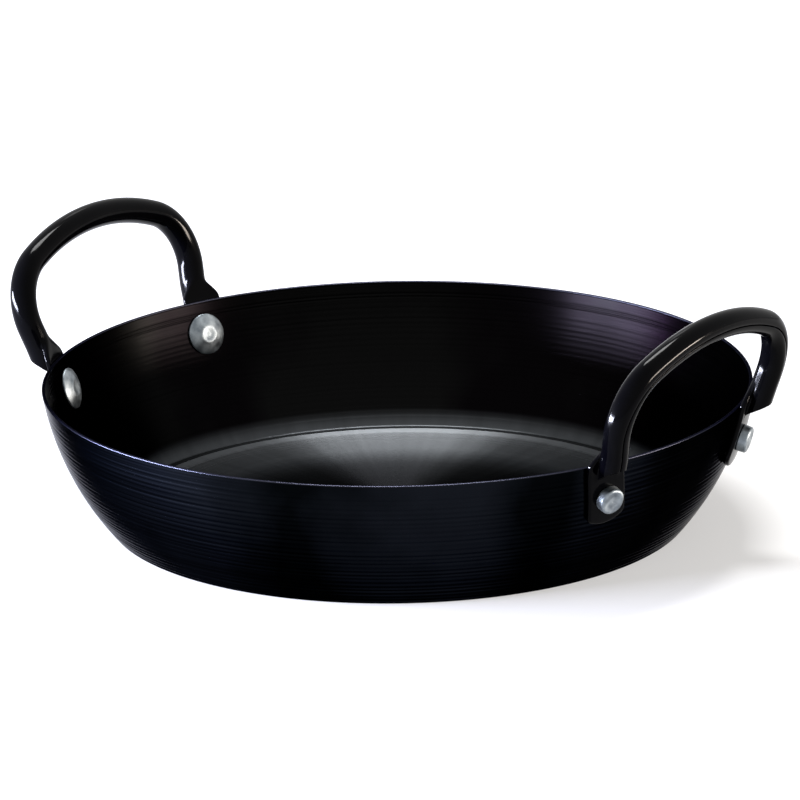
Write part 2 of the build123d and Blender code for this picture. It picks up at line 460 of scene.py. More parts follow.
# The specular level is far below paint's own 0.5, because the side lamps are far above a room's
film = node(
    tree, "ShaderNodeBsdfPrincipled",
    {"Base Color": tone, "Roughness": gloss, "Normal": ripple, "Specular IOR Level": 0.035},
)
tree.links.new(film.outputs[0], output.inputs["Surface"])
print("material:", paint.name)

# %% [markdown]
# ## Zinc-plated steel
# The rivets are steel wire, plated and then hammered shut. Plating is a pale metal, satin where it is
# new and duller where the tool has bruised it, so one noise drives its colour, gloss and dents
# together. That gives the eye small pale patches that agree with each other.

# %% Plating
bruise_size = 3 * mm
plating, tree, output = new_material("zinc_plated_steel")
place = node(tree, "ShaderNodeTexCoord").outputs["Object"]
bruise = node(
    tree, "ShaderNodeTexNoise", {"Vector": place, "Scale": 1 / bruise_size, "Detail": 5.0},
).outputs["Fac"]
tone = node(
    tree, "ShaderNodeValToRGB", {"Fac": bruise},
    stops=[(0.3, linear("#5d646a")), (0.7, linear("#8f979c"))],
).outputs["Color"]
gloss = node(
    tree, "ShaderNodeMapRange", {"Value": bruise, **noise_span, "To Min": 0.34, "To Max": 0.5},
).outputs[0]
dents = node(
    tree, "ShaderNodeBump", {"Height": bruise, "Strength": 0.3, "Distance": 0.15 * mm},
).outputs[0]
zinc = node(
    tree, "ShaderNodeBsdfPrincipled",
    {"Base Color": tone, "Metallic": 1.0, "Roughness": gloss, "Normal": dents},
)
tree.links.new(zinc.outputs[0], output.inputs["Surface"])
print("material:", plating.name)

# %% [markdown]
# ## The bowl
# A spun bowl is one section turned round an axis, so the mesh is a lathe: a line of points in radius
# and height, repeated round the circle. A Screw modifier could turn a drawn curve too, but points that
# come from a rule can each be cut to their own depth. The tool leaves a ridge about every 1.9 mm on
# both faces of the wall, cut here into the mesh itself, so that they catch light from every side.

# %% Helpers for the profile
ridge_pitch = 1.9
step = ridge_pitch / 7


def arc_points(inset, low, high):
    """Points along the wall between two heights, with their normals, outwards and down."""
    start = asin((arc_z - low) / (wall_arc - inset))
    end = asin((arc_z - high) / (wall_arc - inset))
    count = max(2, round(abs(end - start) * (wall_arc - inset) / step))
    for k in range(count + 1):
        angle = start + (end - start) * k / count
        along = (start - angle) * (wall_arc - inset)
        yield (
            arc_x + (wall_arc - inset) * cos(angle), arc_z - (wall_arc - inset) * sin(angle),
            cos(angle), -sin(angle), along,
        )


def corner_points(centre_r, centre_z, radius, start, end, count=7):
    """Points on a rounded corner, between two angles in degrees."""
    for k in range(count + 1):
        angle = radians(start + (end - start) * k / count)
        yield centre_r + radius * cos(angle), centre_z + radius * sin(angle)


def ridge(along, depth, seed):
    """Depth of the tool's ridges: their pitch drifts and some cut deeper."""
    drift = 0.25 * sin(along * 0.31 + seed) + 0.18 * sin(along * 0.83 + 2 * seed)
    turn = 2 * pi * along / ridge_pitch + 2.2 * drift
    uneven = 0.62 + 0.38 * sin(along * 1.37 + 3 * seed) * sin(along * 0.59 + seed)
    return depth * uneven * (0.5 - 0.5 * cos(turn))


def fade(value, start, end):
    """Smooth rise from 0 at start to 1 at end."""
    t = min(1.0, max(0.0, (value - start) / (end - start)))
    return t * t * (3 - 2 * t)


def groove(distance, depth, width):
    """Depth of a pointed groove at a distance from its middle."""
    return depth * max(0.0, 1 - abs(distance) / width)


print("ridges", ridge_pitch, "mm apart, points", round(step, 2), "mm apart")

# %% [markdown]
# The profile starts at the middle of the floor. The block that the sheet is spun on leaves two fine
# lines near the floor's edge. Rings of points stand closer together towards that edge, and each line
# gets points of its own, so that it stays sharp. Every point notes which finish its face takes.

# %% Profile of the floor
inside_zone, outside_zone, floor_zone = 0, 1, 2
outline, zones = [], []


def add(r, z, zone):
    """Adds a point to the profile. The face that ends there takes the zone's finish."""
    outline.append((r, z))
    zones.append(zone)


floor_edge, floor_rings, crowding, first_ring = base_radius - 3.2, 150, 0.8, 0.4
line_width, floor_lines = 0.34, ((89.4, 0.12), (84.4, 0.05))  # radius and depth of each line
for k in range(floor_rings + 1):
    r = floor_edge * (k / floor_rings) ** crowding
    z = sheet
    for line, depth in floor_lines:
        z -= groove(r - line, depth, line_width)
    add(max(r, first_ring), z, floor_zone)
for line, depth in floor_lines:
    for offset in (-line_width, -line_width / 2, 0, line_width / 2, line_width):
        add(line + offset, sheet - groove(offset, depth, line_width), floor_zone)
outline.sort(key=lambda point: point[0])
print("points from the middle to the floor's edge:", len(outline))

# %% [markdown]
# The ridges on the inner wall are cut outwards from a smooth arc and are deepest at its foot. Below the
# rim they give way to a polished band with two grooves round it.

# %% Profile of the inner wall and the rim
inner_corner, rim_round = 1.4, 0.35
inner_ridge, inner_foot_ridge, inner_seed = 0.075, 0.06, 1.3
polish_depth, polish_pitch = 0.02, 0.9
rim_lines, rim_line_depth, rim_line_width = (4.2, 5.3), 0.14, 0.4
corner_z, rim_z = sheet + inner_corner, pan_height - rim_round
corner_r = wall_radius(corner_z, sheet + inner_corner)
lean = degrees(asin((arc_z - corner_z) / (wall_arc - sheet - inner_corner)))
for r, z in corner_points(corner_r, corner_z, inner_corner, -90, -lean):
    add(r, z, inside_zone)
for r, z, nr, nz, along in list(arc_points(sheet, corner_z, rim_z))[1:]:
    drop = pan_height - z
    ridged = fade(along, 0.1, 1.5) * fade(drop, 6.0, 9.0)
    depth = inner_ridge + inner_foot_ridge * (1 - fade(along, 3, 9))
    cut = ridge(along, depth, inner_seed) * ridged
    cut += polish_depth * (1 - ridged) * (0.5 - 0.5 * cos(2 * pi * along / polish_pitch))
    for line in rim_lines:
        cut += groove(drop - line, rim_line_depth, rim_line_width)
    add(r + nr * cut, z + nz * cut, inside_zone)
inner_rim = wall_radius(rim_z, sheet) + rim_round
outer_rim = wall_radius(rim_z) - rim_round
for r, z in corner_points(inner_rim, rim_z, rim_round, 180, 90, 4):
    add(r, z, inside_zone)
for r, z in corner_points(outer_rim, rim_z, rim_round, 90, 0, 4):
    add(r, z, outside_zone)
print("points up to the rim's outer edge:", len(outline))

# %% [markdown]
# The outer wall comes down to the base the same way, with deeper ridges. The base is hidden, and gets
# only the faint rings that turning leaves on any sheet.

# %% Profile of the outer wall and the base
outer_corner = inner_corner + sheet
outer_ridge, outer_foot_ridge, outer_seed = 0.12, 0.08, 0.4
base_rings, base_wave, base_pitch, base_plain = 41, 0.03, 6.0, 3
base_corner_r = wall_radius(outer_corner, outer_corner)
low_lean = degrees(asin((arc_z - outer_corner) / (wall_arc - outer_corner)))
wall_start = outer_corner - outer_corner * sin(radians(low_lean))
for r, z, nr, nz, along in reversed(list(arc_points(0, wall_start, rim_z))[:-1]):
    depth = outer_ridge + outer_foot_ridge * (1 - fade(along, 3, 12))
    cut = ridge(along, depth, outer_seed) * fade(pan_height - z, 2.5, 5.0)
    add(r - nr * cut, z - nz * cut, outside_zone)
corner = list(corner_points(base_corner_r, outer_corner, outer_corner, -low_lean, -90))
for r, z in corner[1:]:
    add(r, z, outside_zone)
for k in range(1, base_rings):
    r = base_corner_r * (1 - k / base_rings)
    wave = base_wave - base_wave * cos(2 * pi * r / base_pitch)
    add(r, wave if r < base_corner_r - base_plain else 0.0, outside_zone)
print("points in the whole profile:", len(outline))

# %% [markdown]
# The profile is turned into a mesh here: rings of vertices joined by four-sided faces, closed at both
# poles. The floor, the inner wall and the outer wall each take their own finish, because they wear
# differently.

# %% Turn the bowl
turns = 256


def lathe(name, profile, segments):
    """A closed mesh turned round Z from (radius, height) points in millimetres."""
    ring = [(cos(2 * pi * k / segments), sin(2 * pi * k / segments)) for k in range(segments)]
    points = [(r * c * mm, r * s * mm, z * mm) for r, z in profile for c, s in ring]
    faces = []
    for low in range(0, (len(profile) - 1) * segments, segments):
        high = low + segments
        for k in range(segments):
            n = (k + 1) % segments
            faces.append((low + k, low + n, high + n, high + k))
    first, last = len(points), len(points) + 1
    points.append((0, 0, profile[0][1] * mm))
    points.append((0, 0, profile[-1][1] * mm))
    tail = (len(profile) - 1) * segments
    for k in range(segments):
        n = (k + 1) % segments
        faces.append((first, n, k))
        faces.append((last, tail + k, tail + n))
    made = bpy.data.meshes.new(name)
    made.from_pydata(points, [], faces)
    made.shade_smooth()
    return made


bowl_mesh = lathe("bowl", outline, turns)
bowl_mesh.flip_normals()  # the profile starts inside, so its faces come out turned inwards
bowl = bpy.data.objects.new("bowl", bowl_mesh)
scene.collection.objects.link(bowl)
for finish in (inside_iron, outside_iron, floor_iron):  # in the order of the zones' numbers
    bowl_mesh.materials.append(finish)
for i in range(len(outline) - 1):
    for k in range(turns):
        bowl_mesh.polygons[i * turns + k].material_index = zones[i + 1]
for face in bowl_mesh.polygons[-turns * 2 :]:
    face.material_index = outside_zone if face.center.z < sheet * mm / 2 else floor_zone
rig.ride(bowl, "root")
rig.replaces(bowl, "pan")
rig.slot(bowl, "pan_iron")
print("bowl faces:", len(bowl_mesh.polygons))

# %% [markdown]
# ## The line that a handle follows
# Each handle is one steel strip. Its middle is bent into a loop and rolled into a tube round a narrow
# seam, and its ends stay flat, lie on the wall and take the rivets. The loop lies in a plane that
# leans outwards: a long arc, two tight bends and two legs that come together a little. Under the rim
# the leg's line is handed over to a line that runs down the wall through the rivet. A curve object with
# a bevel would give the loop, but not the foot, so each place along the line gets its own directions
# here, and the mesh is built on them.

# %% Line of a handle
tube, strip, seam = 4.5, 2.0, 0.4
loop_height, loop_half_width, grip_arc, bend_radius = 39.3, 46.0, 90.0, 19.0
leg_slant, tab_slant = radians(13.5), radians(11)
rivet_drop, rivet_inset, rim_clearance, wall_gap = 11.5, 7.0, 0.5, 0.05
neck_top = 56.0  # where the loop's rows end and the foot's begin
laid_from, laid_to, softness = 53, 41, 0.06  # heights of the handing over, and how round it is
rivet_height = pan_height - rivet_drop
rivet_lean = asin((arc_z - rivet_height) / wall_arc)
rivet_turn = asin((loop_half_width - rivet_inset) / wall_radius(rivet_height))
bend_x = loop_half_width - bend_radius
grip_turn = asin(bend_x / (grip_arc - bend_radius))
grip_y = loop_height - grip_arc
bend_y = grip_y + sqrt((grip_arc - bend_radius) ** 2 - bend_x**2)
leg_top_y = bend_y - bend_radius * sin(leg_slant)
leg_side = bend_x + bend_radius * cos(leg_slant) - leg_top_y * tan(leg_slant)
loop_reach = sqrt((rim_radius + rim_clearance + tube) ** 2 - leg_side**2)


def unit(v):
    return v / np.linalg.norm(v)


def leg_centre(z, lean):
    """Middle of the foot at a height: the leg's straight line, then a tube's radius off the wall."""
    rise = (z - pan_height) / cos(lean)
    leg = (loop_reach + rise * sin(lean), leg_side + rise * tan(leg_slant))
    tilt = asin((arc_z - z) / (wall_arc + wall_gap + tube))
    above = wall_arc * (rivet_lean - tilt)
    wall_turn = rivet_turn + above * tan(tab_slant) / wall_radius(arc_z - wall_arc * sin(tilt))
    laid = fade(z, laid_from, laid_to)
    turn = atan2(leg[1], leg[0]) * (1 - laid) + wall_turn * laid
    wall = arc_x + (wall_arc + wall_gap + tube) * cos(tilt)
    off = hypot(leg[0], leg[1]) - wall
    radius = wall + (off + sqrt(off**2 + softness)) / 2
    return np.array([radius * cos(turn), radius * sin(turn), z])


def foot_frame(z, lean, step=0.2):
    """Middle of the foot at a height, with the directions across it and out of it."""
    middle = leg_centre(z, lean)
    down = unit(leg_centre(z - step, lean) - leg_centre(z + step, lean))
    level = unit(np.array([-middle[1], middle[0], 0]))
    out = unit(np.cross(down, level))
    return middle, np.cross(out, down), out


def loop_frames(lean, grip_rows=12, bend_rows=24):
    """The same for half of the loop, from its top. The strip twists until its back faces the wall."""
    side, rise = np.array([0, 1.0, 0]), np.array([sin(lean), 0, cos(lean)])
    out, origin = np.array([cos(lean), 0, -sin(lean)]), np.array([loop_reach, 0, pan_height])
    bend_end = pi / 2 + leg_slant
    steps = [(grip_turn * k / grip_rows, 0, grip_y, grip_arc, 0) for k in range(grip_rows + 1)]
    for k in range(1, bend_rows + 1):
        angle = grip_turn + (bend_end - grip_turn) * k / bend_rows
        steps.append((angle, bend_x, bend_y, bend_radius, fade(k / bend_rows, 0, 1)))
    across = side * sin(bend_end) + rise * cos(bend_end)
    foot_out = foot_frame(neck_top, lean)[2]
    twist = atan2(foot_out @ across, foot_out @ out)
    for angle, x, y, radius, share in steps:
        middle = origin + side * (x + radius * sin(angle)) + rise * (y + radius * cos(angle))
        across = side * sin(angle) + rise * cos(angle)
        c, s = cos(twist * share), sin(twist * share)
        yield middle, across * c - out * s, out * c + across * s


print("rivets stand", round(degrees(rivet_turn), 1), "degrees either side of a handle's middle")

# %% [markdown]
# ## The strip's section
# The section is an outline of columns, which run along the whole strip. On the loop they lie round a
# tube and round its hollow, and the strip's two lips dip to the seam. At the foot the columns on the
# back spread to a flat plate. So each column has a place on the tube and a place on the plate, and
# the rows between slide from one to the other. One half is listed, and the other is its mirror image.

# %% Columns of the strip
lip, lip_dip, lip_spread = 0.25, 0.22, radians(17)
plate_half, edge_round, back_round, corner, end_radius = 7.2, 0.8, 0.6, 1.5, 11.3
plate_start, plate_start_rise, hollow_flat, hollow_middle = 4.2, 0.17, 1.25, 0.6
plate_front = strip - tube
edge_x = plate_half - edge_round
end_arc = end_radius - edge_round
arm_count = 15


def on_ring(radius, angle):
    """A point round the tube, from the seam, where the strip's lips dip."""
    dipped = radius - lip_dip * np.exp(-((angle / lip_spread) ** 2))
    return dipped * sin(angle), dipped * cos(angle)


def arm(radius, end, outward):
    """From the rounded lip at the seam to where the flat plate begins."""
    start = asin((seam / 2 + lip) / radius)
    top = on_ring(radius, start)[1]
    turns = (0, pi / 6, pi / 3)
    points = [(seam / 2 + lip - lip * cos(a), top - outward * lip * (1 - sin(a))) for a in turns]
    angles = [start + (end - start) * k / arm_count for k in range(arm_count + 1)]
    return points + [on_ring(radius, angle) for angle in angles]


junction = pi - atan2(sqrt(tube**2 - plate_front**2), -plate_front)
hollow_radius = tube - strip
outer_arm = arm(tube, junction, 1)
inner_arm = arm(hollow_radius, pi - asin(hollow_flat / hollow_radius), -1)
ring_count = len(outer_arm) - 1

# Across the plate: how far out, how far down the rounded end reaches there, and the end's direction
corner_x = edge_x - corner
corner_t = sqrt((end_arc - corner) ** 2 - corner_x**2)
corner_turn = atan2(corner_t, corner_x)
across_end = []
for x in (plate_start, 4.65, 3.3, 2.3, hollow_flat, hollow_middle, 0.0):
    t = sqrt(end_arc**2 - x**2)
    across_end.append((x, t, x / end_arc, t / end_arc))
front, middle_part, low_part = across_end[:2], across_end[2:4], across_end[4:]
for k in range(6):
    a = corner_turn * (1 - k / 5)
    front.append((corner_x + corner * cos(a), corner_t + corner * sin(a), cos(a), sin(a)))
back = front[::-1] + middle_part + low_part
edge = [
    (edge_round * sin(a), plate_front - edge_round * (1 - cos(a)))
    for a in (pi / 8, pi / 4, 3 * pi / 8, pi / 2)
]
edge += [(edge_round * sin(a), back_round * (1 - cos(a)) - tube) for a in (pi / 2, pi / 3, pi / 6)]
plate = [(plate_start, plate_front + plate_start_rise)] + [(c[0], plate_front) for c in front[1:]]
plate += [(edge_x + h, y) for h, y in edge] + [(c[0], -tube) for c in back]
under_arc, last_column = pi - junction, len(plate) - 1
rolled = [on_ring(tube, junction + under_arc * k / last_column) for k in range(len(plate))]
hollow_turn = pi - asin(hollow_middle / hollow_radius)
hollow_low = [inner_arm[-1], on_ring(hollow_radius, hollow_turn), (0.0, plate_front)]
print("columns in half a section:", 2 * ring_count + len(plate) + len(hollow_low))

# %% [markdown]
# ## The foot, row by row
# The rolled part ends in an oblique cut, higher on its outer side. Its columns simply stop there, each
# at its own height, which keeps them straight and puts their ends on the cut. The plate's columns run
# on down the wall to a rounded end past the rivet. The lengths are those of the CAD solids.

# %% Rows of the foot
foot_rows, tab_rows, foot_bottom, foot_samples = 26, 15, 20, 300
right_lean, left_lean, cut_drop, cut_slant = radians(14.7), radians(18.0), 2.6, radians(41)
cut_height, cut_share = pan_height - cut_drop * cos(right_lean), tan(cut_slant) * cos(right_lean)
tab_past_rivet = 10.4
spread_from, spread_to, curl_from, curl_to, curl_side = 54.2, 46.3, 50, 44, 2
levelled_from = 0.7


class Foot:
    """Places points on one handle's foot."""

    def __init__(self, lean):
        self.lean = lean
        self.cut = cut_height + cut_share * plate_front
        self.heights = np.linspace(self.cut, foot_bottom, foot_samples)
        frames = [foot_frame(z, lean) for z in self.heights]
        line = np.array([middle - out * tube for middle, _, out in frames])
        self.lengths = np.append(0, np.cumsum(np.linalg.norm(np.diff(line, axis=0), axis=1)))
        seat_radius = wall_radius(rivet_height)
        seat = np.array([
            seat_radius * cos(rivet_turn), seat_radius * sin(rivet_turn), rivet_height,
        ])
        nearest = np.argmin(np.linalg.norm(line - seat, axis=1))
        self.end_centre = self.lengths[nearest] + tab_past_rivet - edge_round - end_arc

    def place(self, z, x, y, curl):
        """A point at a height, x across and y out. curl bends it round the wall."""
        middle, across, out = foot_frame(z, self.lean)
        return middle + across * x + out * (y - curl * x * x / (2 * rim_radius))

    def on_plate(self, t, x, y):
        """A point of the plate, at a length down the wall from the cut."""
        return self.place(float(np.interp(t, self.lengths, self.heights)), x, y, 1.0)

    def down_to_cut(self, x, y, end_y, flat=None, level=None):
        """A column's points from the neck to the cut. flat is its place on the plate, and level
        the height over the plate that it settles to."""
        last = cut_height + cut_share * end_y
        for r in range(1, foot_rows + 1):
            z = neck_top + (last - neck_top) * r / foot_rows
            px, py = x, y
            curl = fade(z, curl_from, curl_to) * fade(y, curl_side, plate_front)
            if flat:
                spread = fade(z, spread_from, spread_to)
                px, py = x + (flat[0] - x) * spread, y + (flat[1] - y) * spread
            if level is not None:
                py = y + (level - y) * fade(r / foot_rows, levelled_from, 1.0)
            yield self.place(z, px, py, curl)

    def down_plate(self, x, y, t, first=1):
        """A column's points from the cut to where the rounded end begins."""
        for r in range(first, tab_rows + 1):
            yield self.on_plate((self.end_centre + t) * r / tab_rows, x, y)


print("the roll ends", round(cut_height, 1), "mm above the base, at its middle")

# %% [markdown]
# ## The whole handle
# A Boolean cut through a swept tube could give the same form, but it leaves ragged faces, and gloss
# paint shows every one. So the columns are laid point by point and joined into four-sided faces, from
# the top of the loop down to one foot. A small class keeps the points and the faces together.

# %% Points and faces of a handle
class HandleBuild:
    """Collects the points, the columns of points and the faces of half a handle."""

    def __init__(self, lean):
        self.foot, self.frames = Foot(lean), list(loop_frames(lean))
        self.points, self.columns, self.faces = [], {}, []
        self.cut_row = len(self.frames) + foot_rows
        self.last_row = self.cut_row + tab_rows

    def put(self, point):
        """Adds a point and gives its number."""
        self.points.append(point)
        return len(self.points) - 1

    def column(self, key, xy, end_y, flat=None, level=None, plate_xy=None, t=0.0):
        """Adds a column from the top of the loop to the cut, or on to the rounded end."""
        rows = [middle + across * xy[0] + out * xy[1] for middle, across, out in self.frames]
        rows.append(self.foot.place(neck_top, *xy, 0.0))
        rows += self.foot.down_to_cut(*xy, end_y, flat, level)
        if plate_xy:
            rows += self.foot.down_plate(*plate_xy, t)
        self.columns[key] = [self.put(p) for p in rows]

    def join(self, a, b, start, end, skip_a=0, skip_b=0):
        """Faces between two columns. One that starts at the cut skips the rows above it."""
        for r in range(start, end):
            ar, br = r - skip_a, r - skip_b
            self.faces.append((a[ar], a[ar + 1], b[br + 1], b[br]))


print("rows from the top to the cut:", HandleBuild(right_lean).cut_row)

# %% [markdown]
# A column starts on the tube or in its hollow. Those of the two arms end at the cut. Those of the back
# slide to the plate's edge and back, and the lowest ones of the hollow to its front, and both run on to
# the rounded end. Each is kept under a key, so that the faces can find its neighbours later.

# %% Lay the columns
front_count, edge_count, centre = len(front), len(edge), len(plate) - 1


def lay_columns(build):
    """Every column, on both sides of the strip's middle. s is 1 on one side and -1 on the other."""
    columns = build.columns
    for s in (1, -1):
        for i in range(ring_count):
            (outer_x, outer_y), (inner_x, inner_y) = outer_arm[i], inner_arm[i]
            build.column(("outer", s, i), (s * outer_x, outer_y), max(plate_front, outer_y))
            build.column(("inner", s, i), (s * inner_x, inner_y), inner_y)
        for j, (xy, flat) in enumerate(zip(rolled, plate)):
            if s < 0 and j == centre:
                columns["plate", s, j] = columns["plate", 1, j]
                continue
            if j < front_count:
                plate_xy, t = (s * front[j][0], plate_front), front[j][1]
            elif j < front_count + edge_count:
                plate_xy, t = (s * flat[0], flat[1]), front[-1][1]
            else:
                plate_xy, t = (s * flat[0], flat[1]), back[j - front_count - edge_count][1]
            build.column(
                ("plate", s, j), (s * xy[0], xy[1]), plate_front,
                flat=(s * flat[0], flat[1]), plate_xy=plate_xy, t=t,
            )
        for j, (xy, c) in enumerate(zip(hollow_low, low_part)):
            if s < 0 and c[0] == 0:
                columns["hollow", s, j] = columns["hollow", 1, j]
                continue
            build.column(
                ("hollow", s, j), (s * xy[0], xy[1]), plate_front,
                level=plate_front, plate_xy=(s * c[0], plate_front), t=c[1],
            )
        for j, c in enumerate(middle_part):
            rows = build.foot.down_plate(s * c[0], plate_front, c[1], first=0)
            columns["middle", s, j] = [build.put(p) for p in rows]


print("columns over the plate's front, edge and back:", front_count, edge_count, len(back))

# %% [markdown]
# The faces run along the strip between neighbouring columns. At the cut a row of faces joins the tube's
# outside to its hollow, which closes the rolled part. The plate goes on below it.

# %% Join one side
def join_side(build, s):
    """Faces along the strip on one side of its middle, and over the cut."""
    columns, cut_row, last_row = build.columns, build.cut_row, build.last_row
    outer = [columns["outer", s, i] for i in range(ring_count)] + [columns["plate", s, 0]]
    inner = [columns["inner", s, i] for i in range(ring_count)] + [columns["hollow", s, 0]]
    across = [columns["plate", s, 0], columns["middle", s, 0], columns["middle", s, 1]]
    for i in range(ring_count):
        build.join(outer[i], outer[i + 1], 0, cut_row)
        build.join(inner[i + 1], inner[i], 0, cut_row)
    build.join(inner[0], outer[0], 0, cut_row)
    for j in range(centre):
        build.join(columns["plate", s, j], columns["plate", s, j + 1], 0, last_row)
    for j in range(2):
        build.join(columns["hollow", s, j + 1], columns["hollow", s, j], 0, last_row)
    build.join(across[1], across[0], cut_row, last_row, cut_row, 0)
    build.join(across[2], across[1], cut_row, last_row, cut_row, cut_row)
    build.join(inner[-1], across[2], cut_row, last_row, 0, cut_row)
    for i in range(ring_count - 1):
        a, b = outer[i][cut_row], outer[i + 1][cut_row]
        build.faces.append((inner[i][cut_row], inner[i + 1][cut_row], b, a))
    last = [outer[-2][cut_row], outer[-1][cut_row], across[1][0], across[2][0]]
    build.faces.append(tuple(last + [inner[-1][cut_row], inner[-2][cut_row]])[::-1])


print("rows from the cut to the rounded end:", tab_rows)

# %% [markdown]
# The plate's end is a rounded edge, as a pressed blank has. Lines of points go round it from the front
# to the back, and the middle point of each line is shared by both sides.

# %% Close the rounded end
def close_end(build, s, end_middle):
    """Faces round the plate's end on one side. end_middle keeps the points that both sides share."""
    foot, columns, last_row = build.foot, build.columns, build.last_row
    lines = [[columns["plate", s, j][last_row] for j in reversed(range(front_count))]]
    lines[0] += [columns["middle", s, j][-1] for j in range(len(middle_part))]
    lines[0] += [columns["hollow", s, j][last_row] for j in range(len(low_part))]
    for k, (h, y) in enumerate(edge):
        line = [columns["plate", s, front_count + k][last_row]]
        for x, t, nx, nt in back[1:]:
            if x or s > 0:
                down = foot.end_centre + t + nt * h
                line.append(build.put(foot.on_plate(down, s * (x + nx * h), y)))
            else:
                line.append(end_middle[k])
        end_middle[k] = line[-1]
        lines.append(line)
    back_columns = range(front_count + edge_count, centre + 1)
    lines.append([columns["plate", s, j][last_row] for j in back_columns])
    for one, two in zip(lines, lines[1:]):
        for i in range(len(back) - 1):
            build.faces.append((one[i], one[i + 1], two[i + 1], two[i]))


print("lines round the plate's edge:", edge_count)

# %% [markdown]
# The half is mirrored about the handle's middle, where the top row is shared. The result is one closed
# mesh with the hollow inside it. The left handle is the same, turned round and leaning further out.

# %% Build the handles
sharp_angle = radians(38)


def handle_mesh(name, lean, turned):
    """A handle as one closed mesh. turned puts it on the pan's other side."""
    build, end_middle = HandleBuild(lean), {}
    points, faces = build.points, build.faces
    lay_columns(build)
    for s in (1, -1):
        begin = len(faces)
        join_side(build, s)
        close_end(build, s, end_middle)
        if s < 0:
            faces[begin:] = [f[::-1] for f in faces[begin:]]
    shared = {c[0] for key, c in build.columns.items() if key[0] != "middle"}
    twin, count = {}, len(points)
    for i in range(count):
        twin[i] = i if i in shared else build.put(points[i] * np.array([1, -1, 1]))
    faces += [tuple(twin[i] for i in f[::-1]) for f in faces]
    placed = np.array(points) * mm
    if turned:
        placed[:, :2] *= -1
    made = bpy.data.meshes.new(name)
    made.from_pydata(placed.tolist(), [], faces)
    made.shade_smooth()
    made.set_sharp_from_angle(angle=sharp_angle)
    return made


for name, lean, turned in (("right_handle", right_lean, False), ("left_handle", left_lean, True)):
    mesh = handle_mesh(name, lean, turned)
    mesh.materials.append(paint)
    handle = bpy.data.objects.new(name, mesh)
    scene.collection.objects.link(handle)
    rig.ride(handle, "root")
    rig.replaces(handle, "handle_" + name.split("_")[0])
    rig.slot(handle, "handle_paint")
    print(name, "faces:", len(mesh.polygons))

# %% [markdown]
# ## The rivets
# A rivet is turned too, so it is another lathe, on its own axis, square to the wall. Inside the pan it
# has a low dome with a dish in the middle. Outside, the tail was clenched by a tool that left its rim
# rounded and its top a little cupped. Four copies of one mesh would be simpler, but hand-set rivets
# are never quite alike, so each gets its own and its tail is pulled a little out of true.

# %% Section of a rivet
shank, head_radius, head_edge, head_dome = 2.5, 7.1, 0.5, 1.9
dish_depth, dish_middle, dish_edge = 0.34, 0.6, 2.9
dish_lip, dish_lip_radius, dish_lip_width = 0.05, 3.1, 0.6
tail_radius, tail_height, tail_round, tail_bevel = 4.65, 3.2, 0.9, 0.1
cup_depth, cup_middle, pole = 0.28, 1.6, 0.15
inner_curve = wall_arc - sheet
head_base = -(sheet + inner_curve - sqrt(inner_curve**2 - head_radius**2) + wall_gap)
dome_curve = (head_radius**2 + head_dome**2) / (2 * head_dome)
tail_base = strip + 2 * wall_gap
tail_top = tail_base + tail_height


def dome(r):
    """Height of the head over its edge, with the dish in its middle."""
    over = sqrt(dome_curve**2 - r**2) - (dome_curve - head_dome)
    dish = dish_depth * (1 - fade(r, dish_middle, dish_edge))
    raised = dish_lip * np.exp(-(((r - dish_lip_radius) / dish_lip_width) ** 2))
    return over - (dish - raised)


head_top = head_base - head_edge
section = [(r, head_top - dome(r)) for r in np.linspace(pole, head_radius - 0.25, 40)]
section += [
    (head_radius - 0.06, head_top), (head_radius, head_top + 0.15), (head_radius, head_base),
    (shank, head_base), (shank, tail_base),
    (tail_radius - tail_bevel, tail_base), (tail_radius, tail_base + tail_bevel),
]
turned_in = tail_radius - tail_round
for k in range(9):
    a = pi / 2 * k / 8
    section.append((turned_in + tail_round * cos(a), tail_top - tail_round + tail_round * sin(a)))
for r in np.linspace(turned_in - pole, pole, 14):
    section.append((r, tail_top - cup_depth * (1 - fade(r, cup_middle, turned_in))))
print("points in a rivet's section:", len(section))

# %% [markdown]
# Each rivet is set at its own place, with its axis square to the wall. Its tail is pulled and tilted by
# about a tenth of a millimetre, which is enough to keep the four highlights from being alike.

# %% Set the rivets
oval, waves, tilt = 0.012, 0.006, 0.06 * mm
for number, (name, turn) in enumerate((
    ("right_rear", rivet_turn), ("right_front", -rivet_turn),
    ("left_rear", pi - rivet_turn), ("left_front", pi + rivet_turn),
)):
    mesh = lathe(name + "_rivet", section, 72)
    for v in mesh.vertices:
        if v.co.z > (tail_base + 0.2) * mm:
            angle = atan2(v.co.y, v.co.x)
            pull = 1 - oval * (1 + sin(2 * angle + number))
            pull -= waves * (1 + sin(5 * angle + 2 * number))
            v.co.x *= pull
            v.co.y *= pull
            v.co.z -= tilt * (1 + sin(angle + 1.7 * number))
    out = Vector((cos(turn) * cos(rivet_lean), sin(turn) * cos(rivet_lean), -sin(rivet_lean)))
    across = Vector((-sin(turn), cos(turn), 0))
    over = out.cross(across)
    seat_radius = wall_radius(rivet_height)
    seat = Vector((seat_radius * cos(turn), seat_radius * sin(turn), rivet_height)) * mm
    mesh.transform(Matrix((
        (across.x, over.x, out.x, seat.x), (across.y, over.y, out.y, seat.y),
        (across.z, over.z, out.z, seat.z), (0, 0, 0, 1),
    )))
    mesh.set_sharp_from_angle(angle=radians(40))
    mesh.materials.append(plating)
    rivet = bpy.data.objects.new(name + "_rivet", mesh)
    scene.collection.objects.link(rivet)
    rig.ride(rivet, "root")
    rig.replaces(rivet, "rivet_" + name)
    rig.slot(rivet, "rivet_metal")
print("rivets:", 2 * head_radius, "mm across inside and", 2 * tail_radius, "mm outside")

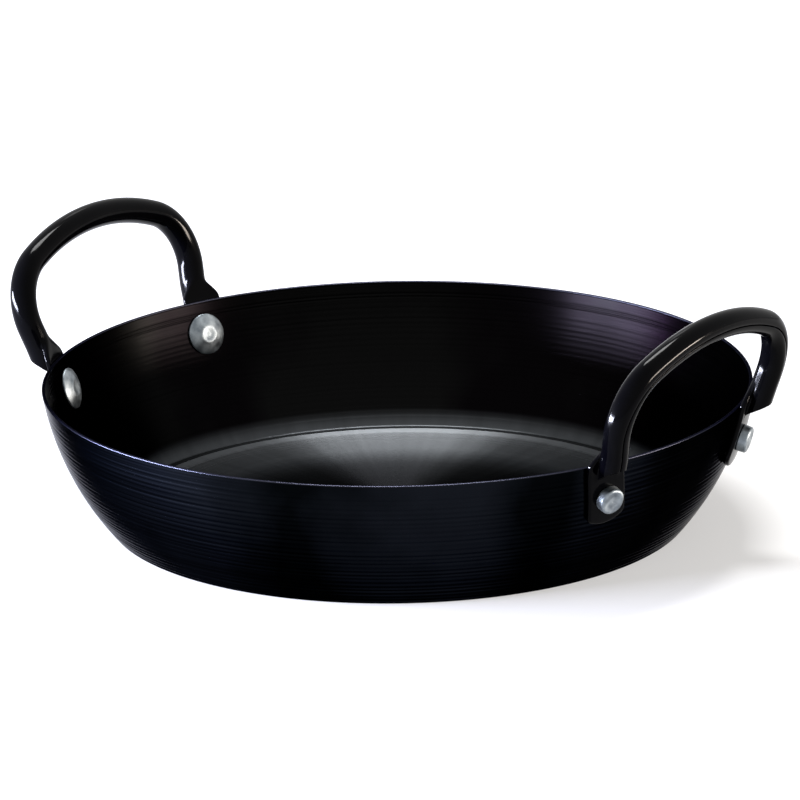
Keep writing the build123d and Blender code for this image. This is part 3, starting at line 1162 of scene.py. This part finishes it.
# %% [markdown]
# ## The paper and the sky
# A sheet of pale paper and a soft sky stand for the studio. A white room round the pan would wash out
# its blacks with light from all sides. So the paper and the sky show their full brightness only to the
# camera and in reflections, by Light Path, and light the pan with less. The paper still takes its
# shadow.

# %% Paper and sky
half = 6.0
ground_mesh = bpy.data.meshes.new("ground")
corners = [(-half, -half, 0), (half, -half, 0), (half, half, 0), (-half, half, 0)]
ground_mesh.from_pydata(corners, [], [(0, 1, 2, 3)])
ground = bpy.data.objects.new("ground", ground_mesh)
ground.location.z = -0.05 * mm
scene.collection.objects.link(ground)


def seen_directly(tree):
    """1 for rays from the camera and for mirror and glass rays, 0 for the soft light between things."""
    ray = node(tree, "ShaderNodeLightPath").outputs
    seen = ray["Is Camera Ray"]
    for other in ("Is Glossy Ray", "Is Transmission Ray"):
        seen = node(tree, "ShaderNodeMath", {0: seen, 1: ray[other]}, operation="MAXIMUM").outputs[0]
    return seen


paper, tree, output = new_material("white_paper")
diffuse = node(tree, "ShaderNodeBsdfDiffuse", {"Color": linear("#c4c4c4")})
glow = node(tree, "ShaderNodeEmission", {"Color": (1, 1, 1, 1), "Strength": 0.45})
lit = node(tree, "ShaderNodeAddShader")
tree.links.new(diffuse.outputs[0], lit.inputs[0])
tree.links.new(glow.outputs[0], lit.inputs[1])
choice = node(tree, "ShaderNodeMixShader", {0: seen_directly(tree)})
tree.links.new(diffuse.outputs[0], choice.inputs[1])
tree.links.new(lit.outputs[0], choice.inputs[2])
tree.links.new(choice.outputs[0], output.inputs["Surface"])
ground_mesh.materials.append(paper)
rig.stage(ground)

world = bpy.data.worlds.new("studio")
world.use_nodes = True
tree = world.node_tree
tree.nodes.clear()
light_given, light_shown = 0.3, 1.0
level = node(
    tree, "ShaderNodeMapRange",
    {"Value": seen_directly(tree), "To Min": light_given, "To Max": light_shown},
)
sky = node(tree, "ShaderNodeBackground", {"Color": (1, 1, 1, 1), "Strength": level.outputs[0]})
node(tree, "ShaderNodeOutputWorld", {"Surface": sky.outputs[0]})
scene.world = world
print("sky lights the pan at", light_given, "and shows at", light_shown)

# %% [markdown]
# ## The lamps
# The streaks and wedges of light on the pan are reflections of the studio's softboxes, so four area
# lamps stand where mirror reflections need them. The iron is almost black and stands nearly edge-on to
# the side lamps, so these two are long, narrow and strong, and lie low. The left one is a little blue
# and the right one a little warm, as their streaks are.


# %% Lamps
def softbox(name, turn, rise, distance, size, radiance, colour="#ffffff"):
    """A lamp that faces the bowl. Turn 0 is the camera's side, 90 its right, 180 behind the bowl."""
    turn, rise = radians(turn) + camera_turn, radians(rise)
    direction = Vector((cos(turn) * cos(rise), sin(turn) * cos(rise), sin(rise)))
    lamp = bpy.data.lights.new(name, "AREA")
    lamp.shape = "RECTANGLE"
    lamp.size, lamp.size_y = size
    lamp.energy = radiance * pi * size[0] * size[1]
    lamp.color = linear(colour)[:3]
    made = bpy.data.objects.new(name, lamp)
    scene.collection.objects.link(made)
    made.location = direction * distance
    made.rotation_mode = "QUATERNION"
    made.rotation_quaternion = direction.to_track_quat("Z", "Y")


softbox("top_softbox", 180, 65, distance=1.4, size=(0.5, 0.3), radiance=38.0)
softbox("back_softbox", 180, 39, distance=1.6, size=(0.2, 0.25), radiance=3.0)
softbox("left_softbox", -86, 5, distance=1.5, size=(1.3, 0.18), radiance=480.0, colour="#e2e7ff")
softbox("right_softbox", 83, 5, distance=1.5, size=(0.7, 0.15), radiance=125.0, colour="#fff0e2")
print("lamps placed")

# %% [markdown]
# ## The size
# The box round the CAD solids and the box round the finished pieces are written side by side. The
# dressing may soften a form, but it must not change how large the pan is.

# %% Measure and finish
bpy.context.view_layer.update()
json.dump(
    {"cad": [list(c) for c in cad_box], "visual": [list(c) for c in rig.bounds()]},
    open("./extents.json", "w"),
)
print(open("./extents.json").read())
